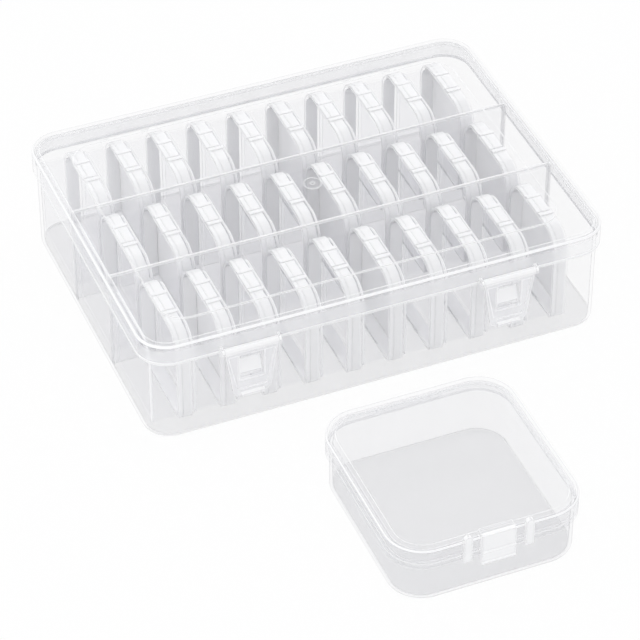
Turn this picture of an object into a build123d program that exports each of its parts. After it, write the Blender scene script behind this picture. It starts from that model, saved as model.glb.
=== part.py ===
from build123d import *

import os
from types import SimpleNamespace

# A clear compartment organizer: a latched case holding three rows of small lidded boxes, and one
# larger lidded box of the same make that stands in front of it. Millimetres, +Z up. The origin is
# the middle of the case's flat underside; +X is to the right and -Y is the front, where the
# latches are.

# Case: overall sizes
case_length = 245.0  # lid, left to right
case_depth = 183.0  # lid, front to back
case_height = 60.0  # underside of the tray to the top of the lid
case_corner = 16.0  # plan radius of the lid's corners

# Case lid
lid_wall = 1.5
lid_plate = 1.6
lid_skirt = 11.6  # lid top to the skirt's lower edge
lid_edge_radius = 1.4
lid_rim = 3.8  # flat border round the top
lid_groove = 0.7  # depth of the field between the border and the raised panel
panel_margin_x = 17.0  # lid edge to panel, left and right
panel_margin_y = 18.0  # lid edge to panel, front and back
panel_corner = 13.0
gate_radius = 4.5  # moulding gate mark in the middle of the lid
gate_height = 0.35
gate_dimple = 1.1

# Case tray
lid_clearance = 0.5  # skirt to tray, all round
rest_gap = 0.3  # lid plate to the tray's top edge
tray_wall = 1.6
tray_floor = 1.6
tray_foot_radius = 3.0

# Dividers between the rows
divider_thickness = 1.0
divider_head_gap = 0.4  # below the lid plate
divider_end_gap = 0.2
guide_reach = 0.8  # guide ribs on the end walls
guide_width = 1.0
guide_clearance = 0.15

# Case hinge: lugs and a pin on the tray, a slit barrel on the lid
hinge_span = 136.0  # between the two hinges, and between the two latches
hinge_offset = 2.6  # axis behind the lid
hinge_drop = 0.9  # axis below the skirt's edge
hinge_radius = 2.2
hinge_pin_radius = 1.1
hinge_pin_clearance = 0.08
hinge_barrel_length = 18.0
hinge_lug_length = 4.0
hinge_side_gap = 0.3
hinge_arm_height = 4.5
slit_share = 1.5  # slit width as a multiple of the pin radius
bite = 0.4  # how far a raised feature is rooted in its wall

# Latches, hung on the lid's front
latch_shift = -2.2  # middle of the two latches from the middle of the case
latch_width = 27.5
latch_foot_width = 19.0
latch_height = 30.7
latch_thickness = 1.7
latch_barrel_radius = 1.9
latch_pin_radius = 0.95
latch_pin_clearance = 0.08
latch_offset = 2.3  # axis in front of the lid
latch_rise = 1.6  # axis above the skirt's edge
latch_ear_thickness = 1.2
latch_ear_gap = 0.3
latch_foot_radius = 3.5
latch_border = 1.8
latch_dish = 0.5
latch_window_width = 12.6
latch_window_height = 15.6
latch_window_drop = 3.5  # axis to the window's top
latch_window_frame = 0.5  # raised edge round the window
latch_window_corner = 1.0
latch_lip_height = 2.4
latch_lip_reach = 1.1
catch_clearance = 0.4
catch_side_gap = 0.6
catch_height = 9.0
catch_nose = 2.0  # height of the catch's upright face
catch_slope_reach = 0.6  # how far the catch stands out at its upper edge

# Small boxes
columns = 10
row_names = ("front", "middle", "rear")
small_corner = 12.0  # beside the tab
small_back_corner = 3.4  # beside the hinge
small_wall = 1.1
small_lid_depth = 5.7
small_flange = 2.2
small_fit = 0.2
small_rim = 2.8
small_dish = 0.4
small_foot_radius = 1.3
small_lid_radius = 0.6
small_tab_width = 11.5
small_tab_gap = 0.15
small_tab_thickness = 0.75
small_tab_rib = 0.25
small_tab_rise = 0.0
small_tab_drop = 1.3
small_tab_root = 1.0
small_ear_place = 7.6
small_ear_width = 2.2
small_ear_rise = 0.0
small_hinge_radius = 1.1
small_hinge_offset = 1.3
small_hinge_drop = 0.5
small_pin_radius = 0.55
small_barrel_length = 12.0
small_lug_length = 2.0
small_arm_height = 2.2
small_side_gap = 0.2  # between hinge barrel and lugs
box_gap = 0.4  # between neighbours in a row
row_gap = 0.2  # box to divider
outer_row_shift = 1.8  # outer rows stand this much further from the dividers
row_wall_gap = 5.2  # outer rows to the tray's front and back walls
wall_gap = 0.2  # first box to the guide ribs
finger_gap = 14.4  # left free at the end of each row, so that its end box can be lifted
box_head_room = 0.25  # tab to lid plate

# Larger box in front of the case
big_width = 97.0
big_side = 103.6
big_height = 32.9
big_corner = 19.0
big_back_corner = 19.0
big_wall = 1.6
big_lid_depth = 7.9
big_flange = 3.0
big_fit = 0.3
big_rim = 4.8
big_dish = 0.5
big_foot_radius = 2.4
big_lid_radius = 1.0
big_tab_width = 17.0
big_tab_gap = 0.35
big_tab_thickness = 1.9
big_tab_rib = 0.6
big_tab_rise = 2.4
big_tab_drop = 4.0
big_tab_root = 3.4
big_ear_place = 15.5
big_ear_width = 4.0
big_ear_rise = 4.6
big_hinge_radius = 1.7
big_hinge_offset = 2.0
big_hinge_drop = 0.6
big_pin_radius = 0.85
big_barrel_length = 30.0
big_lug_length = 4.0
big_arm_height = 4.0
big_side_gap = 0.3
big_box_x = -7.1
big_box_y = -187.5
pin_clearance = 0.07  # pins of both box sizes
seam_gap = 0.1  # lid skirt to base flange
lip_gap = 0.3  # base lip to lid plate

# Case: worked out
skirt_edge = case_height - lid_skirt
lid_front = -case_depth / 2
lid_back = case_depth / 2
tray_length = case_length - 2 * (lid_wall + lid_clearance)
tray_depth = case_depth - 2 * (lid_wall + lid_clearance)
tray_corner = case_corner - lid_wall - lid_clearance
tray_top = case_height - lid_plate - rest_gap
tray_front = -tray_depth / 2
tray_back = tray_depth / 2
inside_length = tray_length - 2 * tray_wall
inside_depth = tray_depth - 2 * tray_wall
hinge_y = lid_back + hinge_offset
hinge_z = skirt_edge - hinge_drop
latch_y = lid_front - latch_offset
latch_z = skirt_edge + latch_rise

# Rows of small boxes: worked out. The boxes are as large as the case leaves room for
divider_top = case_height - lid_plate - divider_head_gap
row_bottom = tray_floor + small_hinge_offset + small_hinge_radius  # each box stands on its hinge
small_tab_reach = small_tab_gap + small_tab_thickness + small_tab_rib
small_side = case_height - lid_plate - box_head_room - small_tab_reach - row_bottom
row_middle = row_bottom + small_side / 2
row_room = inside_depth - 2 * (row_wall_gap + outer_row_shift + divider_thickness + 2 * row_gap)
small_width = row_room / len(row_names)
divider_y = small_width / 2 + row_gap + divider_thickness / 2
outer_row_y = divider_y + divider_thickness / 2 + row_gap + outer_row_shift + small_width / 2
column_room = inside_length - 2 * guide_reach - wall_gap - finger_gap
column_pitch = (column_room + box_gap) / columns
small_height = column_pitch - box_gap
first_box_x = -inside_length / 2 + guide_reach + wall_gap
rows = dict(zip(row_names, (-outer_row_y, 0.0, outer_row_y)))

os.makedirs("parts", exist_ok=True)


def box_sizes(**given):
    """The given sizes of a lidded box, with those that follow from them."""
    s = SimpleNamespace(**given)
    s.seam = s.height - s.lid_depth
    s.front = -s.side / 2
    s.hinge_y = s.side / 2 + s.hinge_offset
    s.hinge_z = s.seam - s.hinge_drop
    s.lug_place = s.barrel_length / 2 + s.side_gap + s.lug_length / 2
    return s


small = box_sizes(
    width=small_width, side=small_side, height=small_height, corner=small_corner,
    back_corner=small_back_corner, wall=small_wall,
    lid_depth=small_lid_depth, flange=small_flange, fit=small_fit, rim=small_rim, dish=small_dish,
    foot_radius=small_foot_radius, lid_radius=small_lid_radius,
    tab_width=small_tab_width, tab_gap=small_tab_gap, tab_thickness=small_tab_thickness,
    tab_rib=small_tab_rib, tab_rise=small_tab_rise, tab_drop=small_tab_drop, tab_root=small_tab_root,
    ear_place=small_ear_place, ear_width=small_ear_width, ear_rise=small_ear_rise,
    hinge_radius=small_hinge_radius, hinge_offset=small_hinge_offset, hinge_drop=small_hinge_drop,
    pin_radius=small_pin_radius, barrel_length=small_barrel_length, lug_length=small_lug_length,
    arm_height=small_arm_height, side_gap=small_side_gap,
)
big = box_sizes(
    width=big_width, side=big_side, height=big_height, corner=big_corner,
    back_corner=big_back_corner, wall=big_wall,
    lid_depth=big_lid_depth, flange=big_flange, fit=big_fit, rim=big_rim, dish=big_dish,
    foot_radius=big_foot_radius, lid_radius=big_lid_radius,
    tab_width=big_tab_width, tab_gap=big_tab_gap, tab_thickness=big_tab_thickness,
    tab_rib=big_tab_rib, tab_rise=big_tab_rise, tab_drop=big_tab_drop, tab_root=big_tab_root,
    ear_place=big_ear_place, ear_width=big_ear_width, ear_rise=big_ear_rise,
    hinge_radius=big_hinge_radius, hinge_offset=big_hinge_offset, hinge_drop=big_hinge_drop,
    pin_radius=big_pin_radius, barrel_length=big_barrel_length, lug_length=big_lug_length,
    arm_height=big_arm_height, side_gap=big_side_gap,
)


def plate(plane, s, height, inset=0, mode=Mode.ADD):
    """A slab with a lidded box's plan, moved in by the inset, that stands on the plane."""
    with BuildSketch(plane) as shape:
        Rectangle(s.width - 2 * inset, s.side - 2 * inset)
        fillet(shape.vertices().group_by(Axis.Y)[0], s.corner - inset)
        fillet(shape.vertices().group_by(Axis.Y)[-1], s.back_corner - inset)
    extrude(shape.sketch, amount=height, mode=mode)


def side_plane(place, across):
    """A plane square to the place's x, whose sketch runs along the place's y and z."""
    origin = place.from_local_coords((across, 0, 0))
    return Plane(origin=origin, x_dir=place.y_dir, z_dir=place.x_dir)


def front_plane(place, forward):
    """A plane facing the place's -y, whose sketch runs along the place's x and z."""
    origin = place.from_local_coords((0, -forward, 0))
    return Plane(origin=origin, x_dir=place.x_dir, z_dir=-place.y_dir)


def slab(plane, length, width, radius, height, mode=Mode.ADD):
    """A round-cornered slab that stands on the plane."""
    with BuildSketch(plane) as shape:
        RectangleRounded(length, width, radius)
    extrude(shape.sketch, amount=height, mode=mode)


def disc(plane, y, z, radius, half_length, mode=Mode.ADD):
    """A cylinder through the plane, as long on both sides of it."""
    with BuildSketch(plane) as shape:
        with Locations((y, z)):
            Circle(radius)
    extrude(shape.sketch, amount=half_length, both=True, mode=mode)


def block(plane, y_low, y_high, z_low, z_high, half_length, mode=Mode.ADD):
    """A straight block through the plane, as long on both sides of it."""
    with BuildSketch(plane) as shape:
        with Locations(((y_low + y_high) / 2, (z_low + z_high) / 2)):
            Rectangle(y_high - y_low, z_high - z_low)
    extrude(shape.sketch, amount=half_length, both=True, mode=mode)


def make_tray():
    """The case's tub, with divider guides, latch catches and hinge lugs."""
    with BuildPart() as tray:
        slab(Plane.XY, tray_length, tray_depth, tray_corner, tray_top)
        fillet(tray.edges().group_by(Axis.Z)[0], tray_foot_radius)
        inner_corner = tray_corner - tray_wall
        slab(Plane.XY.offset(tray_floor), inside_length, inside_depth, inner_corner, tray_top,
             mode=Mode.SUBTRACT)
        guide_place = divider_thickness / 2 + guide_clearance + guide_width / 2
        guide_spots = [
            (side * (inside_length / 2 - guide_reach / 2 + bite / 2), row * divider_y + edge * guide_place)
            for side in (-1, 1)
            for row in (-1, 1)
            for edge in (-1, 1)
        ]
        with BuildSketch(Plane.XY.offset(tray_floor - bite)):
            with Locations(*guide_spots):
                Rectangle(guide_reach + bite, guide_width)
        extrude(amount=divider_top - tray_floor + bite)
        for side in (-1, 1):
            add_catch(latch_shift + side * hinge_span / 2)
            add_tray_hinge(side * hinge_span / 2)
    return tray.part


def add_catch(x):
    """The wedge on the tray's front wall that a latch closes over."""
    catch_low = latch_z - latch_window_drop - latch_window_height + catch_side_gap
    nose = latch_y + latch_thickness / 2 + catch_clearance
    with BuildSketch(side_plane(Plane.XY, x)) as shape:
        Polygon(
            (tray_front + bite, catch_low),
            (nose, catch_low),
            (nose, catch_low + catch_nose),
            (tray_front - catch_slope_reach, catch_low + catch_height),
            (tray_front + bite, catch_low + catch_height),
            align=None,
        )
    extrude(shape.sketch, amount=latch_window_width / 2 - catch_side_gap, both=True)


def add_tray_hinge(x):
    """Two lugs behind the tray and the pin between them."""
    lug_place = hinge_barrel_length / 2 + hinge_side_gap + hinge_lug_length / 2
    for side in (-1, 1):
        plane = side_plane(Plane.XY, x + side * lug_place)
        disc(plane, hinge_y, hinge_z, hinge_radius, hinge_lug_length / 2)
        block(plane, tray_back - bite, hinge_y, hinge_z - hinge_radius, hinge_z, hinge_lug_length / 2)
    disc(side_plane(Plane.XY, x), hinge_y, hinge_z, hinge_pin_radius, lug_place)


def make_case_lid():
    """The case's lid, with its rear hinge barrels and the ears and pins of the latches."""
    panel_length = case_length - 2 * panel_margin_x
    panel_depth = case_depth - 2 * panel_margin_y
    with BuildPart() as lid:
        slab(Plane.XY.offset(skirt_edge), case_length, case_depth, case_corner, lid_skirt)
        fillet(lid.edges().group_by(Axis.Z)[-1], lid_edge_radius)
        slab(Plane.XY.offset(skirt_edge), case_length - 2 * lid_wall, case_depth - 2 * lid_wall,
             case_corner - lid_wall, lid_skirt - lid_plate, mode=Mode.SUBTRACT)
        with BuildSketch(Plane.XY.offset(case_height)):
            RectangleRounded(case_length - 2 * lid_rim, case_depth - 2 * lid_rim, case_corner - lid_rim)
            RectangleRounded(panel_length, panel_depth, panel_corner, mode=Mode.SUBTRACT)
        extrude(amount=-lid_groove, mode=Mode.SUBTRACT)
        with BuildSketch(Plane.XY.offset(case_height)):
            Circle(gate_radius)
            Circle(gate_dimple, mode=Mode.SUBTRACT)
        extrude(amount=gate_height)
        for side in (-1, 1):
            add_lid_barrel(side * hinge_span / 2)
            add_latch_ears(latch_shift + side * hinge_span / 2)
    return lid.part


def add_lid_barrel(x):
    """A barrel on an arm behind the lid, slit below so that it snaps over the tray's pin."""
    half = hinge_barrel_length / 2
    plane = side_plane(Plane.XY, x)
    disc(plane, hinge_y, hinge_z, hinge_radius, half)
    with BuildSketch(plane) as shape:
        Polygon(
            (lid_back - bite, skirt_edge),
            (lid_back - bite, skirt_edge + hinge_arm_height),
            (lid_back + bite, skirt_edge + hinge_arm_height),
            (hinge_y + hinge_radius, hinge_z),
            (hinge_y, hinge_z),
            (lid_back, skirt_edge),
            align=None,
        )
    extrude(shape.sketch, amount=half, both=True)
    bore = hinge_pin_radius + hinge_pin_clearance
    disc(plane, hinge_y, hinge_z, bore, half, mode=Mode.SUBTRACT)
    slit = slit_share * hinge_pin_radius / 2
    block(plane, hinge_y - slit, hinge_y + slit, hinge_z - 2 * hinge_radius, hinge_z, half,
          mode=Mode.SUBTRACT)


def add_latch_ears(x):
    """Two ears on the lid's front and the pin between them."""
    ear_place = latch_width / 2 + latch_ear_gap + latch_ear_thickness / 2
    for side in (-1, 1):
        plane = side_plane(Plane.XY, x + side * ear_place)
        half = latch_ear_thickness / 2
        disc(plane, latch_y, latch_z, latch_barrel_radius, half)
        block(plane, latch_y, lid_front + bite, skirt_edge, latch_z + latch_barrel_radius, half)
    disc(side_plane(Plane.XY, x), latch_y, latch_z, latch_pin_radius, ear_place)


def make_latch(x):
    """A latch plate that hangs from its barrel, with a window for the tray's catch."""
    foot = latch_z + latch_barrel_radius - latch_height
    face = latch_y - latch_thickness / 2
    window_top = latch_z - latch_window_drop
    with BuildPart() as latch:
        with BuildSketch(front_plane(Plane.XY, -latch_y - latch_thickness / 2)) as blank:
            Polygon(
                (x - latch_width / 2, latch_z),
                (x - latch_foot_width / 2, foot),
                (x + latch_foot_width / 2, foot),
                (x + latch_width / 2, latch_z),
                align=None,
            )
            fillet(blank.vertices().group_by(Axis.Y)[0], latch_foot_radius)
        extrude(amount=latch_thickness)
        with BuildSketch(front_plane(Plane.XY, -face)) as dish:
            Polygon(
                (x - latch_width / 2 + latch_border, latch_z - latch_barrel_radius - latch_border),
                (x - latch_foot_width / 2 + latch_border, foot + latch_border + latch_lip_height),
                (x + latch_foot_width / 2 - latch_border, foot + latch_border + latch_lip_height),
                (x + latch_width / 2 - latch_border, latch_z - latch_barrel_radius - latch_border),
                align=None,
            )
            fillet(dish.vertices().group_by(Axis.Y)[0], latch_foot_radius - latch_border)
        extrude(amount=-latch_dish, mode=Mode.SUBTRACT)
        with BuildSketch(front_plane(Plane.XY, -face)):
            with Locations((x, window_top - latch_window_height / 2)):
                RectangleRounded(latch_window_width + 2 * latch_window_frame,
                                 latch_window_height + 2 * latch_window_frame, latch_window_corner)
        extrude(amount=-latch_thickness)
        with BuildSketch(front_plane(Plane.XY, -face)):
            with Locations((x, window_top - latch_window_height / 2)):
                Rectangle(latch_window_width, latch_window_height)
        extrude(amount=-2 * latch_thickness, mode=Mode.SUBTRACT)
        lip_half = latch_foot_width / 2 - latch_foot_radius
        plane = side_plane(Plane.XY, x)
        with BuildSketch(plane):
            Polygon(
                (face + bite, foot),
                (face - latch_lip_reach, foot),
                (face - latch_lip_reach, foot + latch_lip_height / 2),
                (face + bite, foot + latch_lip_height),
                align=None,
            )
        extrude(amount=lip_half, both=True)
        disc(plane, latch_y, latch_z, latch_barrel_radius, latch_width / 2)
        bore = latch_pin_radius + latch_pin_clearance
        disc(plane, latch_y, latch_z, bore, latch_width / 2, mode=Mode.SUBTRACT)
        slit = slit_share * latch_pin_radius / 2
        block(plane, latch_y, latch_y + 2 * latch_barrel_radius, latch_z - slit, latch_z + slit,
              latch_width / 2, mode=Mode.SUBTRACT)
    return latch.part


def make_divider(y):
    """A plain strip that stands on the tray's floor between two rows."""
    length = inside_length - 2 * divider_end_gap
    with BuildPart() as divider:
        with BuildSketch(Plane.XY.offset(tray_floor)):
            with Locations((0, y)):
                Rectangle(length, divider_thickness)
        extrude(amount=divider_top - tray_floor)
    return divider.part


def make_base(place, s):
    """The tray of a lidded box, with its flange, the ears beside the tab and the hinge lugs."""
    up = Axis(place.origin, place.z_dir)
    with BuildPart() as base:
        plate(place, s, s.height - s.wall - lip_gap, s.wall + s.fit)
        fillet(base.edges().group_by(up)[0], s.foot_radius)
        plate(place.offset(s.seam - s.flange), s, s.flange)
        plate(place.offset(s.wall), s, s.height, 2 * s.wall + s.fit, Mode.SUBTRACT)
        ear_low = s.seam - s.flange
        ear_centre = s.height + s.ear_rise - s.ear_width / 2
        for side in (-1, 1):
            across = side * s.ear_place
            with BuildSketch(front_plane(place, s.side / 2 + s.tab_gap)):
                with Locations((across, (ear_low + ear_centre) / 2)):
                    Rectangle(s.ear_width, ear_centre - ear_low)
                with Locations((across, ear_centre)):
                    Circle(s.ear_width / 2)
            extrude(amount=s.tab_thickness)
            with BuildSketch(front_plane(place, s.side / 2 - bite)):
                with Locations((across, s.seam - s.flange / 2)):
                    Rectangle(s.ear_width, s.flange)
            extrude(amount=s.tab_gap + bite)
            lug = side_plane(place, side * s.lug_place)
            disc(lug, s.hinge_y, s.hinge_z, s.hinge_radius, s.lug_length / 2)
            block(lug, s.side / 2 - bite, s.hinge_y, s.hinge_z - s.hinge_radius, s.hinge_z,
                  s.lug_length / 2)
        disc(side_plane(place, 0), s.hinge_y, s.hinge_z, s.pin_radius, s.lug_place)
    return base.part


def make_lid(place, s):
    """The lid of a lidded box, with its latch tab and its slit hinge barrel."""
    up = Axis(place.origin, place.z_dir)
    skirt = s.seam + seam_gap
    with BuildPart() as lid:
        plate(place.offset(skirt), s, s.height - skirt)
        fillet(lid.edges().group_by(up)[-1], s.lid_radius)
        plate(place.offset(skirt), s, s.height - s.wall - skirt, s.wall, Mode.SUBTRACT)
        plate(place.offset(s.height), s, -s.dish, s.rim, Mode.SUBTRACT)
        add_tab(place, s, skirt)
        add_lid_hinge(place, s, skirt)
    return lid.part


def add_tab(place, s, skirt):
    """The tab that hooks over the base's flange, ribbed where a finger lifts it."""
    outer = s.front - s.tab_gap - s.tab_thickness
    foot = s.seam - s.flange - s.tab_drop
    rib = s.tab_rib
    with BuildSketch(side_plane(place, 0)) as shape:
        Polygon(
            (s.front + s.tab_root, s.height - s.dish),
            (s.front + s.tab_root, s.height + s.tab_rise),
            (outer, s.height + s.tab_rise),
            (outer, s.seam + rib),
            (outer - rib, s.seam),
            (outer, s.seam - rib),
            (outer, foot + 2 * rib),
            (outer - rib, foot + rib),
            (outer - rib, foot),
            (s.front - s.tab_gap, foot),
            (s.front - s.tab_gap, skirt),
            (s.front + s.wall / 2, skirt),
            (s.front + s.wall / 2, s.height - s.dish),
            align=None,
        )
    extrude(shape.sketch, amount=s.tab_width / 2, both=True)


def add_lid_hinge(place, s, skirt):
    """A barrel on an arm behind the lid, slit below so that it snaps over the base's pin."""
    half = s.barrel_length / 2
    back = s.side / 2
    plane = side_plane(place, 0)
    disc(plane, s.hinge_y, s.hinge_z, s.hinge_radius, half)
    with BuildSketch(plane) as shape:
        Polygon(
            (back - bite, skirt),
            (back - bite, skirt + s.arm_height),
            (back + bite, skirt + s.arm_height),
            (s.hinge_y + s.hinge_radius, s.hinge_z),
            (s.hinge_y, s.hinge_z),
            (back, skirt),
            align=None,
        )
    extrude(shape.sketch, amount=half, both=True)
    disc(plane, s.hinge_y, s.hinge_z, s.pin_radius + pin_clearance, half, mode=Mode.SUBTRACT)
    slit = slit_share * s.pin_radius / 2
    block(plane, s.hinge_y - slit, s.hinge_y + slit, s.hinge_z - 2 * s.hinge_radius, s.hinge_z, half,
          mode=Mode.SUBTRACT)


def keep(shape, name):
    """Label a finished piece and write its file."""
    shape.label = name
    export_step(shape, f"parts/{name}.step")
    print(name, round(shape.volume), "mm3")


keep(make_tray(), "case_tray")
keep(make_case_lid(), "case_lid")
keep(make_latch(latch_shift - hinge_span / 2), "left_latch")
keep(make_latch(latch_shift + hinge_span / 2), "right_latch")
keep(make_divider(divider_y), "rear_divider")
keep(make_divider(-divider_y), "front_divider")

# Each small box stands on its hinge, with its lid to the right and its tab on top
small_place = Plane(origin=(first_box_x, 0, row_middle), x_dir=(0, -1, 0), z_dir=(1, 0, 0))
small_base = make_base(small_place, small)
small_lid = make_lid(small_place, small)
for column in range(columns):
    x = column * column_pitch
    for row, y in rows.items():
        keep(small_base.moved(Location((x, y, 0))), f"{row}_box_base_{column + 1:02d}")
    lids = [small_lid.moved(Location((x, y, 0))) for y in rows.values()]
    keep(Compound(children=lids), f"box_lids_column_{column + 1:02d}")

big_place = Plane(origin=(big_box_x, big_box_y, 0))
keep(make_base(big_place, big), "large_box_base")
keep(make_lid(big_place, big), "large_box_lid")
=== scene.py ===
import math

import bpy
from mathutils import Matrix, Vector

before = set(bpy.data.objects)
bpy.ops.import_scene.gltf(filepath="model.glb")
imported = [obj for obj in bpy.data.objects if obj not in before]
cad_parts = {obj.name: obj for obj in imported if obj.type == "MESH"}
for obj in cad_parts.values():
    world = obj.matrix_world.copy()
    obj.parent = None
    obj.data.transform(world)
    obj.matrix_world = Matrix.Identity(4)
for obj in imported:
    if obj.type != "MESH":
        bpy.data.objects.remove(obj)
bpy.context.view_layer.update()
print("frame loaded:", len(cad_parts), "nodes")

# Camera: the photograph's angle, from the left and well above
camera = {
    "aim": (-0.0235, -0.0668, 0.030),
    "azimuth": 22.43,  # degrees to the left of straight on
    "elevation": 40.29,
    "distance": 1.607,
    "focalPixels": 3267,  # in the photograph's frame
    "framePixels": 640,
    "sensorWidth": 36.0,
    "farthest": 20,
}


def placeCamera(c):
    azimuth = math.radians(c["azimuth"])
    elevation = math.radians(c["elevation"])
    away = Vector((
        -math.sin(azimuth) * math.cos(elevation),
        -math.cos(azimuth) * math.cos(elevation),
        math.sin(elevation),
    ))
    data = bpy.data.cameras.new("camera")
    data.sensor_width = c["sensorWidth"]
    data.lens = c["focalPixels"] / c["framePixels"] * c["sensorWidth"]
    data.clip_end = c["farthest"]
    seen = bpy.data.objects.new("camera", data)
    bpy.context.scene.collection.objects.link(seen)
    seen.location = Vector(c["aim"]) + away * c["distance"]
    seen.rotation_euler = (-away).to_track_quat("-Z", "Y").to_euler()
    bpy.context.scene.camera = seen


placeCamera(camera)
print("camera placed")

# Studio: a pale floor in a soft white room, with two large lamps
studio = {
    "floorHalf": 3.0,
    "floorDrop": 0.0002,  # below the object's flat underside
    "floorColour": (0.93, 0.93, 0.93, 1),
    "floorWhite": 0.94,  # share of plain white in what the camera sees of the floor
    "roomColour": (0.98, 0.985, 1.0, 1),
    "roomStrength": 0.87,
    "pastFloor": (1, 1, 1, 1),
    "lamps": {
        "key": {"at": (-0.9, -0.7, 1.5), "size": 1.1, "power": 4.5},
        "back": {"at": (0.6, 1.4, 1.2), "size": 1.2, "power": 3.5},
    },
    "bounces": 4,
    "clearLayers": 128,  # plastic faces that a look may pass through
}


def newMaterial(name):
    material = bpy.data.materials.new(name)
    material.use_nodes = True
    material.node_tree.nodes.clear()
    return material, material.node_tree.nodes, material.node_tree.links


# A socket takes either a link or a plain value
def feed(links, value, socket):
    if isinstance(value, bpy.types.NodeSocket):
        links.new(value, socket)
    else:
        socket.default_value = value


def newMath(nodes, links, kind, first, second):
    node = nodes.new("ShaderNodeMath")
    node.operation = kind
    feed(links, first, node.inputs[0])
    feed(links, second, node.inputs[1])
    return node.outputs[0]


def newDot(nodes, links, first, second):
    node = nodes.new("ShaderNodeVectorMath")
    node.operation = "DOT_PRODUCT"
    links.new(first, node.inputs[0])
    links.new(second, node.inputs[1])
    return node.outputs["Value"]


# Where a mix node keeps its two values and its result, for each kind
mixSockets = {
    "FLOAT": {"first": 2, "second": 3, "result": 0},
    "RGBA": {"first": 6, "second": 7, "result": 2},
}


def newMix(nodes, links, kind, share, first, second):
    node = nodes.new("ShaderNodeMix")
    node.data_type = kind
    links.new(share, node.inputs[0])
    feed(links, first, node.inputs[mixSockets[kind]["first"]])
    feed(links, second, node.inputs[mixSockets[kind]["second"]])
    return node.outputs[mixSockets[kind]["result"]]


def newShaderMix(nodes, links, share, first, second):
    node = nodes.new("ShaderNodeMixShader")
    for slot, output in enumerate((share, first.outputs[0], second.outputs[0])):
        links.new(output, node.inputs[slot])
    return node.outputs[0]


# The rays that see the white background: the camera's, and those through metal and glass
def backgroundRays(nodes, links):
    path = nodes.new("ShaderNodeLightPath")
    mirrored = newMath(nodes, links, "MAXIMUM", path.outputs["Is Camera Ray"], path.outputs["Is Glossy Ray"])
    return newMath(nodes, links, "MAXIMUM", mirrored, path.outputs["Is Transmission Ray"])


def makeFloor(s):
    half = s["floorHalf"]
    corners = [(-half, -half, 0), (half, -half, 0), (half, half, 0), (-half, half, 0)]
    mesh = bpy.data.meshes.new("floor")
    mesh.from_pydata(corners, [], [(0, 1, 2, 3)])
    floor = bpy.data.objects.new("floor", mesh)
    floor.location.z = -s["floorDrop"]
    bpy.context.scene.collection.objects.link(floor)
    material, nodes, links = newMaterial("paleFloor")
    out = nodes.new("ShaderNodeOutputMaterial")
    paper = nodes.new("ShaderNodeBsdfDiffuse")
    paper.inputs["Color"].default_value = s["floorColour"]
    white = nodes.new("ShaderNodeEmission")
    share = newMath(nodes, links, "MULTIPLY", backgroundRays(nodes, links), s["floorWhite"])
    links.new(newShaderMix(nodes, links, share, paper, white), out.inputs["Surface"])
    mesh.materials.append(material)


def lightRoom(s):
    world = bpy.data.worlds.new("room")
    bpy.context.scene.world = world
    world.use_nodes = True
    nodes, links = world.node_tree.nodes, world.node_tree.links
    nodes.clear()
    out = nodes.new("ShaderNodeOutputWorld")
    glow = nodes.new("ShaderNodeBackground")
    glow.inputs["Color"].default_value = s["roomColour"]
    glow.inputs["Strength"].default_value = s["roomStrength"]
    white = nodes.new("ShaderNodeBackground")  # what is seen past the floor
    white.inputs["Color"].default_value = s["pastFloor"]
    links.new(newShaderMix(nodes, links, backgroundRays(nodes, links), glow, white), out.inputs["Surface"])
    for name, lamp in s["lamps"].items():
        data = bpy.data.lights.new(name, "AREA")
        data.shape = "DISK"
        data.size = lamp["size"]
        data.energy = lamp["power"]
        light = bpy.data.objects.new(name, data)
        light.location = lamp["at"]
        light.rotation_euler = (-Vector(lamp["at"])).to_track_quat("-Z", "Y").to_euler()
        bpy.context.scene.collection.objects.link(light)


makeFloor(studio)
lightRoom(studio)
bpy.context.scene.view_settings.view_transform = "Standard"
bpy.context.scene.cycles.max_bounces = studio["bounces"]
bpy.context.scene.cycles.transparent_max_bounces = studio["clearLayers"]
print("studio lit")


def newGroup(name, taken, made):
    group = bpy.data.node_groups.new(name, "ShaderNodeTree")
    for label, kind in taken.items():
        group.interface.new_socket(label, in_out="INPUT", socket_type="NodeSocket" + kind)
    for label in made:
        group.interface.new_socket(label, in_out="OUTPUT", socket_type="NodeSocketFloat")
    nodes, links = group.nodes, group.links
    return group, nodes, links, nodes.new("NodeGroupInput").outputs, nodes.new("NodeGroupOutput").inputs


def useGroup(nodes, group, values):
    node = nodes.new("ShaderNodeGroup")
    node.node_tree = group
    for label, value in values.items():
        node.inputs[label].default_value = value
    return node.outputs


streaks = {
    "stretch": (1, 1, 0.08),  # streaks run up the walls
    "detail": 1,
}


# Mould finish: the faint streaks and haze of pressed plastic
def makeMouldFinish(s):
    taken = {"Streak Scale": "Float", "Haze": "Float", "Haze Spread": "Float"}
    group, nodes, links, given, made = newGroup("mouldFinish", taken, ("Roughness", "Streaks"))
    where = nodes.new("ShaderNodeTexCoord")
    stretch = nodes.new("ShaderNodeMapping")
    stretch.inputs["Scale"].default_value = s["stretch"]
    noise = nodes.new("ShaderNodeTexNoise")
    noise.inputs["Detail"].default_value = s["detail"]
    links.new(where.outputs["Object"], stretch.inputs["Vector"])
    links.new(stretch.outputs[0], noise.inputs["Vector"])
    links.new(given["Streak Scale"], noise.inputs["Scale"])
    spread = newMath(nodes, links, "MULTIPLY", noise.outputs["Fac"], given["Haze Spread"])
    links.new(newMath(nodes, links, "ADD", spread, given["Haze"]), made["Roughness"])
    links.new(noise.outputs["Fac"], made["Streaks"])
    return group


# Each mask rises from nothing to full between its two values
edgeMasks = {
    "samples": 4,
    "sharp": (0.965, 0.92),  # how far the softened normal agrees with the face
    "line": (0.998, 0.985),
    "round": (0.015, 0.08),  # how far a rounded rim turns from its axis
}


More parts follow.
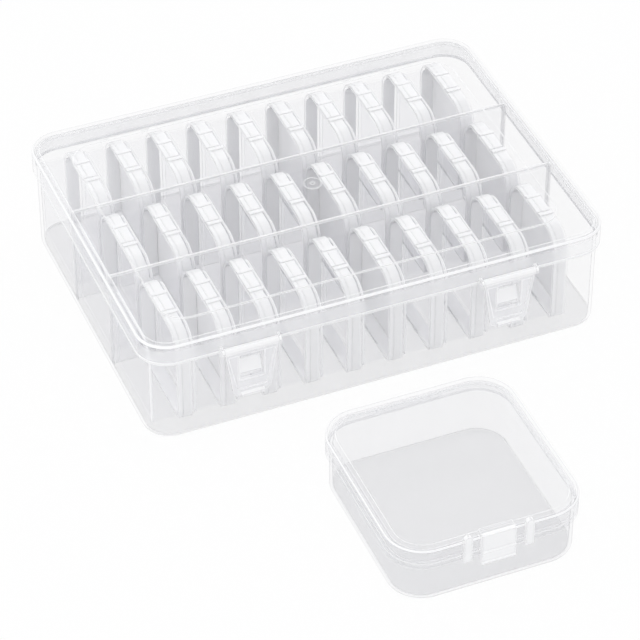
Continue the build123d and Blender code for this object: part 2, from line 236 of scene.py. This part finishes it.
# Painted edge light: a painted highlight in white along sharp edges and round rims, with a painted shade
# line in fine grey beside them
def makeEdgeLightAndShade(s):
    taken = {"Width": "Float", "Rim Axis": "Vector"}
    group, nodes, links, given, made = newGroup("edgeLightAndShade", taken, ("White", "Line"))
    shape = nodes.new("ShaderNodeNewGeometry")
    soft = nodes.new("ShaderNodeBevel")
    soft.samples = s["samples"]
    links.new(given["Width"], soft.inputs["Radius"])
    turned = newDot(nodes, links, soft.outputs[0], shape.outputs["Normal"])
    where = nodes.new("ShaderNodeTexCoord")
    lean = newDot(nodes, links, where.outputs["Normal"], given["Rim Axis"])
    along = newMath(nodes, links, "MULTIPLY", lean, lean)
    across = newMath(nodes, links, "SUBTRACT", 1.0, along)
    rim = newMath(nodes, links, "MULTIPLY", along, across)
    masks = {}
    for name, value in {"sharp": turned, "line": turned, "round": rim}.items():
        mask = nodes.new("ShaderNodeMapRange")
        mask.inputs["From Min"].default_value, mask.inputs["From Max"].default_value = s[name]
        links.new(value, mask.inputs["Value"])
        masks[name] = mask.outputs["Result"]
    # White is a painted highlight along edges and rims; Line is a painted shade line beside them
    links.new(newMath(nodes, links, "MAXIMUM", masks["sharp"], masks["round"]), made["White"])
    links.new(masks["line"], made["Line"])
    return group


# Band: the part of a piece between two distances along an axis, repeated at a pitch
def makeBand():
    taken = {"Axis": "Vector", "Start": "Float", "Pitch": "Float", "Low": "Float", "High": "Float"}
    group, nodes, links, given, made = newGroup("band", taken, ("Inside",))
    where = nodes.new("ShaderNodeTexCoord")
    place = newDot(nodes, links, where.outputs["Object"], given["Axis"])
    moved = newMath(nodes, links, "SUBTRACT", place, given["Start"])
    wrapped = newMath(nodes, links, "FLOORED_MODULO", moved, given["Pitch"])
    above = newMath(nodes, links, "GREATER_THAN", wrapped, given["Low"])
    below = newMath(nodes, links, "LESS_THAN", wrapped, given["High"])
    links.new(newMath(nodes, links, "MULTIPLY", above, below), made["Inside"])
    return group


mouldFinish = makeMouldFinish(streaks)
edgeLightAndShade = makeEdgeLightAndShade(edgeMasks)
band = makeBand()


# Layers of paint: a mask, a colour and a body for each band of a piece
def bandLayers(nodes, bands):
    layers = []
    for part in bands:
        inside = useGroup(nodes, band, part["where"])["Inside"]
        layers.append((inside, part["colour"], part["body"]))
    return layers


# Clear plastic: a faint painted shade in grey on its faces, a painted highlight in white along its edges,
# and painted shade in grey where it is seen aslant
def clearPlastic(name, p):
    material, nodes, links = newMaterial(name)
    out = nodes.new("ShaderNodeOutputMaterial")
    plastic = nodes.new("ShaderNodeBsdfPrincipled")
    plastic.inputs["IOR"].default_value = p["ior"]
    finish = useGroup(nodes, mouldFinish, {
        "Streak Scale": p["streakScale"],
        "Haze": p["haze"],
        "Haze Spread": p["hazeSpread"],
    })
    links.new(finish["Roughness"], plastic.inputs["Roughness"])
    bump = nodes.new("ShaderNodeBump")
    bump.inputs["Strength"].default_value = p["rippleStrength"]
    bump.inputs["Distance"].default_value = p["rippleDepth"]
    links.new(finish["Streaks"], bump.inputs["Height"])
    links.new(bump.outputs["Normal"], plastic.inputs["Normal"])
    edges = useGroup(nodes, edgeLightAndShade, {"Width": p["edgeWidth"], "Rim Axis": p["rimAxis"]})
    # Painted shade: grey laid on where the plastic is seen aslant, set by the camera's angle through Layer
    # Weight
    slant = nodes.new("ShaderNodeLayerWeight")
    slant.inputs["Blend"].default_value = p["slantBlend"]
    aslant = nodes.new("ShaderNodeMapRange")
    aslant.interpolation_type = "SMOOTHSTEP"
    aslant.inputs["From Min"].default_value = p["slantStart"]
    links.new(slant.outputs["Facing"], aslant.inputs["Value"])

    layers = bandLayers(nodes, p["bands"]) + [
        (edges["Line"], p["shadeLineColour"], p["lineBody"]),
        (edges["White"], p["edgeHighlightColour"], p["edgeBody"]),
        (aslant.outputs["Result"], p["slantShadeColour"], p["slantBody"]),
    ] + bandLayers(nodes, p["fades"])
    # Painted shade: the faces get a grey film, darker or paler along the random streaks
    tint = newMix(nodes, links, "RGBA", finish["Streaks"], p["faceShadeDark"], p["faceShadePale"])
    solid = p["faceBody"]
    for mask, colour, body in layers:
        tint = newMix(nodes, links, "RGBA", mask, tint, colour)
        solid = newMix(nodes, links, "FLOAT", mask, solid, body)
    links.new(tint, plastic.inputs["Base Color"])
    links.new(solid, plastic.inputs["Alpha"])

    path = nodes.new("ShaderNodeLightPath")  # lamps shine through, and a wall's far side adds little
    shape = nodes.new("ShaderNodeNewGeometry")
    unseen = newMath(nodes, links, "MAXIMUM", path.outputs["Is Shadow Ray"], shape.outputs["Backfacing"])
    through = nodes.new("ShaderNodeBsdfTransparent")
    through.inputs["Color"].default_value = p["throughColour"]
    links.new(newShaderMix(nodes, links, unseen, plastic, through), out.inputs["Surface"])
    return material


def dress(names, material):
    for name in names:
        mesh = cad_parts[name].data
        mesh.materials.clear()
        mesh.materials.append(material)


# Directions for bands, in metres from the frame's origin; the pitch is longer than any piece
pureWhite = (1, 1, 1, 1)
upward = {"Axis": (0, 0, 1), "Start": 0, "Pitch": 10}
backward = {"Axis": (0, 1, 0), "Start": 0, "Pitch": 10}
forward = {"Axis": (0, -1, 0), "Start": 0, "Pitch": 10}

# Case: clear walls, a painted shade that greys the foot, and latch catches and hinges that hardly show
casePlastic = {
    # painted shade: the grey film on the faces
    "faceShadeDark": (0.46, 0.46, 0.48, 1),
    "faceShadePale": (0.58, 0.58, 0.6, 1),
    "throughColour": (0.99, 0.99, 0.992, 1),
    "ior": 1.49,
    "streakScale": 420,
    "rippleStrength": 0.1,
    "rippleDepth": 0.0004,
    "haze": 0.05,
    "hazeSpread": 0.1,
    "edgeWidth": 0.001,
    "rimAxis": (0, 0, 1),
    # painted highlight along the edges, then the painted shade line beside them
    "edgeHighlightColour": pureWhite,
    "edgeBody": 0.95,
    "shadeLineColour": (0.32, 0.32, 0.33, 1),
    "lineBody": 0.3,
    "slantBlend": 0.5,
    "slantStart": 0.76,
    "faceBody": 0.04,
    # painted shade where the plastic is seen aslant
    "slantShadeColour": (0.27, 0.27, 0.29, 1),
    "slantBody": 0.72,
    "bands": [],  # painted under the edges
    "fades": [],  # painted over them
}
# Painted shade: the foot greyer up to 3.2 mm
caseFootShade = {"where": {**upward, "Low": 0, "High": 0.0032}, "colour": (0.46, 0.46, 0.48, 1), "body": 0.24}
caseCatches = {"where": {**forward, "Low": 0.0897, "High": 1}, "colour": pureWhite, "body": 0.6}
caseHinge = {"where": {**backward, "Low": 0.09, "High": 1}, "colour": pureWhite, "body": 0.1}
trayPlastic = {
    **casePlastic,
    "lineBody": 0.4,
    "bands": [caseFootShade, caseCatches],
    "fades": [caseHinge],
}
dress(["case_tray"], clearPlastic("trayClear", trayPlastic))
print("case tray finished")

# Dividers: paler than the walls, with a painted highlight in white along the upper edge
dividerEdgeHighlight = {"where": {**upward, "Low": 0.0566, "High": 1}, "colour": pureWhite, "body": 1}
dividerPlastic = {
    **casePlastic,
    "faceShadeDark": (0.7, 0.7, 0.75, 1),
    "faceShadePale": (0.8, 0.8, 0.84, 1),
    "faceBody": 0.11,
    "bands": [dividerEdgeHighlight],
}
dress(["rear_divider", "front_divider"], clearPlastic("dividerClear", dividerPlastic))
print("dividers finished")

# Case lid: painted highlights in white on the steps round its raised panel, a hazy skirt, and a painted
# highlight in white along the lower edge
lidStepHighlights = {"where": {**upward, "Low": 0.05932, "High": 0.05998}, "colour": pureWhite, "body": 1}
lidSkirt = {"where": {**upward, "Low": 0.0502, "High": 0.0575}, "colour": (0.97, 0.97, 0.98, 1), "body": 0.3}
lidLowerEdgeHighlight = {"where": {**upward, "Low": 0, "High": 0.0502}, "colour": pureWhite, "body": 0.9}
lidHinge = {"where": {**backward, "Low": 0.0918, "High": 1}, "colour": pureWhite, "body": 0.1}
caseLidPlastic = {
    **casePlastic,
    "edgeWidth": 0.0014,
    "bands": [lidStepHighlights, lidSkirt, lidLowerEdgeHighlight],
    "fades": [lidHinge],
}
dress(["case_lid"], clearPlastic("caseLidClear", caseLidPlastic))
print("case lid finished")

# Latches: whiter than the walls, with a white barrel
latchBarrel = {"where": {**upward, "Low": 0.0481, "High": 1}, "colour": pureWhite, "body": 0.9}
latchPlastic = {
    **casePlastic,
    "faceShadeDark": (0.9, 0.9, 0.92, 1),
    "faceShadePale": (0.98, 0.98, 0.985, 1),
    "faceBody": 0.62,
    "slantBody": 0.2,
    "lineBody": 0.6,
    "shadeLineColour": (0.9, 0.9, 0.92, 1),
    "haze": 0.12,
    "bands": [latchBarrel],
}
dress(["left_latch", "right_latch"], clearPlastic("latchClear", latchPlastic))
print("latches finished")

# Small boxes: pale walls, with painted light in white strips where lid and base meet
eachColumn = {"Axis": (1, 0, 0), "Start": -0.1179, "Pitch": 0.0222}
# Painted light: a white strip in each column where lid and base meet
baseStripLight = {"where": {**eachColumn, "Low": 0.0137, "High": 0.022}, "colour": pureWhite, "body": 0.85}
basePlastic = {
    **casePlastic,
    "faceShadeDark": (0.74, 0.74, 0.79, 1),
    "faceShadePale": (0.9, 0.9, 0.94, 1),
    "edgeWidth": 0.0006,
    "rimAxis": (1, 0, 0),
    "lineBody": 0.06,
    "faceBody": 0.045,
    "slantBody": 0.12,
    "bands": [baseStripLight],
}
lidStripLight = {"where": {**eachColumn, "Low": 0.0137, "High": 0.0207}, "colour": pureWhite, "body": 0.85}
lidPlastic = {
    **basePlastic,
    "faceShadeDark": (0.8, 0.8, 0.84, 1),
    "faceShadePale": (0.94, 0.94, 0.97, 1),
    "faceBody": 0.05,
    "bands": [lidStripLight],
}
smallBases = [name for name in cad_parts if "_box_base_" in name]
smallLids = [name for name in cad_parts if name.startswith("box_lids")]
dress(smallBases, clearPlastic("smallBaseClear", basePlastic))
dress(smallLids, clearPlastic("smallLidClear", lidPlastic))
print("small boxes finished")

# Larger box: milkier walls, a painted shade that greys the floor, a white tab and a hinge that hardly shows
# Painted shade: the floor greyer up to 2.2 mm
largeFloorShade = {"where": {**upward, "Low": 0, "High": 0.0022}, "colour": (0.5, 0.5, 0.52, 1), "body": 0.38}
largeTab = {"where": {**forward, "Low": 0.2394, "High": 1}, "colour": pureWhite, "body": 0.8}
largeHinge = {"where": {**backward, "Start": -0.1357, "Low": 0, "High": 1}, "colour": pureWhite, "body": 0.1}
largePlastic = {
    **casePlastic,
    "faceShadeDark": (0.62, 0.62, 0.65, 1),
    "faceShadePale": (0.76, 0.76, 0.78, 1),
    "faceBody": 0.18,
    "slantBody": 0.8,
    "lineBody": 0.5,
    "bands": [largeFloorShade, largeTab],
    "fades": [largeHinge],
}
dress(["large_box_base"], clearPlastic("largeBaseClear", largePlastic))
largeLidPlastic = {
    **largePlastic,
    "faceBody": 0.07,
    "lineBody": 0.4,
    "bands": [largeTab],
}
dress(["large_box_lid"], clearPlastic("largeLidClear", largeLidPlastic))
print("larger box finished")
